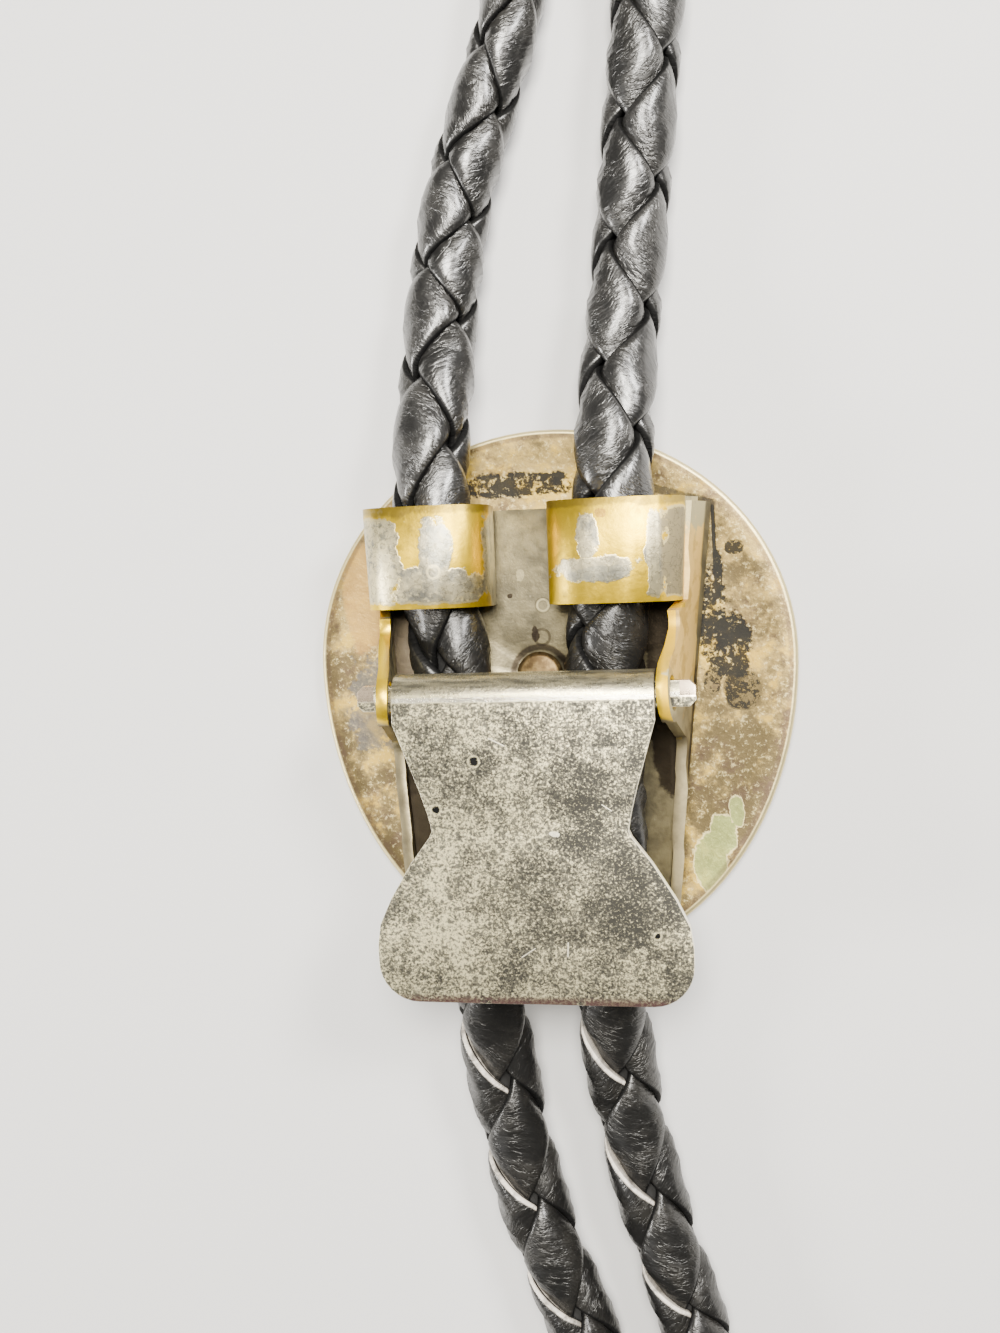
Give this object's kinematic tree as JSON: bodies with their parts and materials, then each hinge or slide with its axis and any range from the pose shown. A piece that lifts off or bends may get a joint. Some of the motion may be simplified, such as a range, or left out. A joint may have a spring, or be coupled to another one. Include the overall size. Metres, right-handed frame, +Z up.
{
  "type": "bolo tie",
  "caption": "Bolo tie lying on its face: oval slide plate with a sheet-metal clip, two cord loops and a hinged cam lever on one braided leather cord with metal tips.",
  "frame": {"origin": "the middle of the plate's flat front, on the surface that the tie lies on", "axes": "+Z up out of the back of the slide, +Y towards the neck loop, +X to the right of somebody who looks down on the back"},
  "size_m": [0.0344, 0.2765, 0.0113],
  "materials": {
    "plate_metal": "silver-plated sheet, tarnished tan and grey, with dark oxide and a green patch",
    "clip_metal": "nickel-plated brass sheet, plating worn through to gold brass",
    "brass": "bare brass rivet, darkened at its edge",
    "lever_metal": "worn nickel plating, finely mottled grey and cream, small pits",
    "leather": "satin black braided leather",
    "tip_metal": "plain bright nickel"
  },
  "bodies": {
    "slide": {"slide_plate": "plate_metal", "clip_body": "clip_metal", "clip_rivet": "brass", "cord": "leather", "tip_left": "tip_metal", "tip_right": "tip_metal"},
    "lever": {"clip_lever": "lever_metal"}
  },
  "joints": [
    {"name": "lever_hinge", "type": "hinge", "parent": "slide", "child": "lever", "pos_m": [-0.001, -0.0018, 0.00945], "axis": [-1, 0, 0], "range_deg": [0, 95]}
  ]
}
